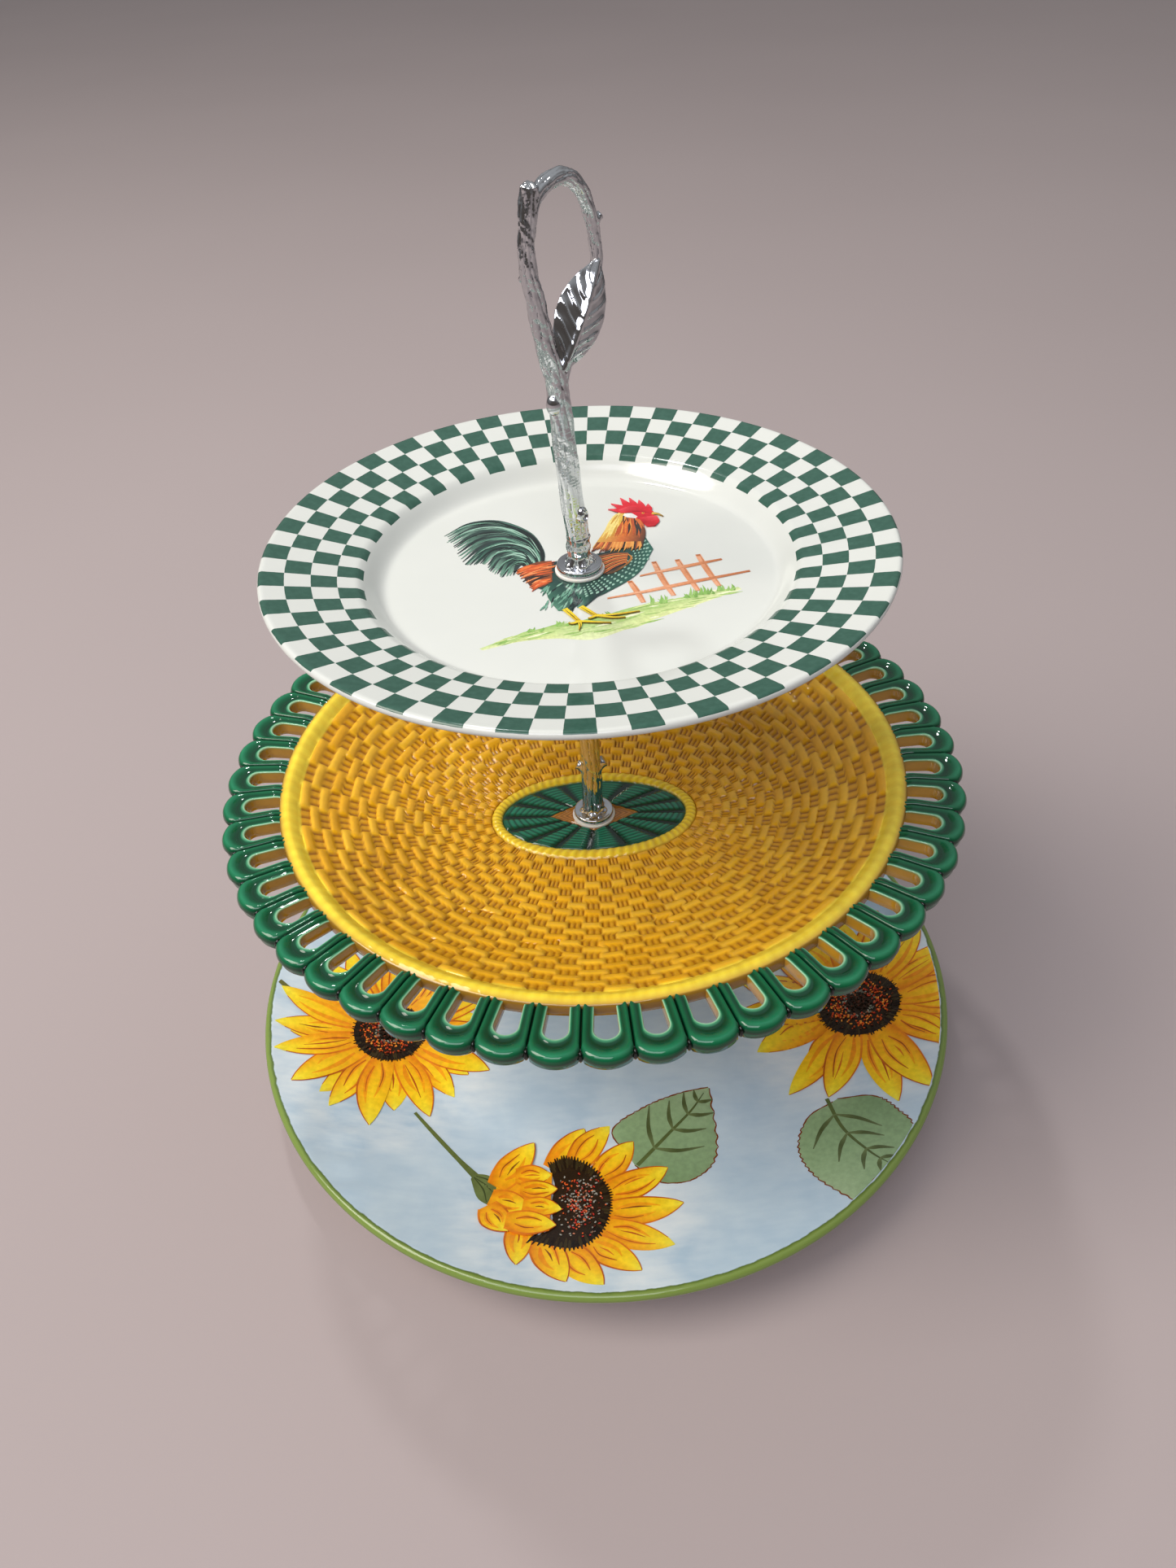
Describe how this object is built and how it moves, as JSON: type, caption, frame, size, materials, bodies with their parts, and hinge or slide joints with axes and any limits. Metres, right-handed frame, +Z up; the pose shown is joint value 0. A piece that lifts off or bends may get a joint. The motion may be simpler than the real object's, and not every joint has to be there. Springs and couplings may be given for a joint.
{
  "type": "tiered cake stand",
  "caption": "Tiered cake stand: glazed plates with drilled centres, clamped between nylon washers on a chromed twig-patterned column that ends in a looped lifting handle.",
  "frame": {"origin": "on the table under the column: the column's axis where it meets the plane of the bottom plate's foot ring", "axes": "+Z up along the column, -Y towards the front of the plates' pictures, +X to the right seen from the front"},
  "size_m": [0.2884, 0.2884, 0.3442],
  "materials": {
    "earthenware": "glossy glaze over painted sky and sunflowers, olive rim",
    "majolica": "glossy amber and green coloured glazes over moulded basketweave",
    "porcelain": "clear glaze over white body with a green check border",
    "chrome_casting": "polished chrome plate over a bark-textured casting",
    "zinc_steel": "bright zinc plate",
    "nylon": "natural white nylon, satin"
  },
  "bodies": {
    "base": {"bottom_plate": "earthenware", "nylon_washer_under_bottom_plate": "nylon", "nylon_washer_over_bottom_plate": "nylon"},
    "lower_column": {"lower_post": "chrome_casting", "lower_stud": "zinc_steel", "base_screw": "zinc_steel", "steel_washer_under_bottom_plate": "zinc_steel", "steel_washer_under_middle_plate": "zinc_steel", "nylon_washer_under_middle_plate": "nylon"},
    "middle_tier": {"middle_plate": "majolica"},
    "upper_collar": {"nylon_washer_over_middle_plate": "nylon"},
    "upper_column": {"upper_post": "chrome_casting", "upper_stud": "zinc_steel", "steel_washer_under_top_plate": "zinc_steel", "nylon_washer_under_top_plate": "nylon"},
    "top_tier": {"top_plate": "porcelain"},
    "handle_collar": {"nylon_washer_over_top_plate": "nylon"},
    "handle_grip": {"handle": "chrome_casting"}
  },
  "joints": [
    {"name": "column_turn", "type": "hinge", "parent": "base", "child": "lower_column", "pos_m": [0, 0, 0.0126], "axis": [0, 0, 1], "continuous": true},
    {"name": "middle_plate_turn", "type": "hinge", "parent": "lower_column", "child": "middle_tier", "pos_m": [0, 0, 0.1188], "axis": [0, 0, 1], "continuous": true},
    {"name": "upper_post_unscrew", "type": "hinge", "parent": "lower_column", "child": "upper_collar", "pos_m": [0, 0, 0.1204], "axis": [0, 0, 1], "range_deg": [0, 3600]},
    {"name": "upper_post_rise", "type": "slide", "parent": "upper_collar", "child": "upper_column", "axis": [0, 0, 1], "range_m": [0, 0.008]},
    {"name": "top_plate_turn", "type": "hinge", "parent": "upper_column", "child": "top_tier", "pos_m": [0, 0, 0.2253], "axis": [0, 0, 1], "continuous": true},
    {"name": "handle_unscrew", "type": "hinge", "parent": "upper_column", "child": "handle_collar", "pos_m": [0, 0, 0.2269], "axis": [0, 0, 1], "range_deg": [0, 3600]},
    {"name": "handle_rise", "type": "slide", "parent": "handle_collar", "child": "handle_grip", "axis": [0, 0, 1], "range_m": [0, 0.008]}
  ],
  "couplings": [
    {"joint": "upper_post_unscrew", "follows": "upper_post_rise", "rad_per_m": 7853.9},
    {"joint": "handle_unscrew", "follows": "handle_rise", "rad_per_m": 7853.9}
  ]
}
